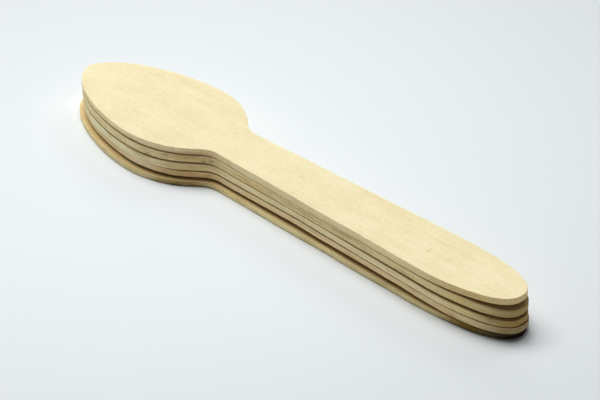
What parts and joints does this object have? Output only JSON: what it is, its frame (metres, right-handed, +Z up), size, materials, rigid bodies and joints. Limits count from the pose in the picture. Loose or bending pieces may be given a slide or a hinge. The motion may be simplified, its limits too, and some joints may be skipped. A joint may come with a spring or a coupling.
{
  "type": "wooden spoon stack",
  "caption": "Loose stack of flat disposable wooden spoons, each die-cut from one sheet of veneer, with an egg-shaped bowl and a handle that widens to a rounded end.",
  "frame": {"origin": "middle of the bottom spoon's underside, on the surface the stack lies on", "axes": "+X along the spoons from the tips of the bowls to the ends of the handles, +Y across them, +Z up through the stack"},
  "size_m": [0.1609, 0.0341, 0.0115],
  "materials": {
    "top_spoon": "matte",
    "second_spoon": "matte",
    "middle_spoon": "matte",
    "fourth_spoon": "matte",
    "bottom_spoon": "matte"
  },
  "bodies": {
    "root": {"top_spoon": "top_spoon", "second_spoon": "second_spoon", "middle_spoon": "middle_spoon", "fourth_spoon": "fourth_spoon", "bottom_spoon": "bottom_spoon"}
  },
  "joints": []
}
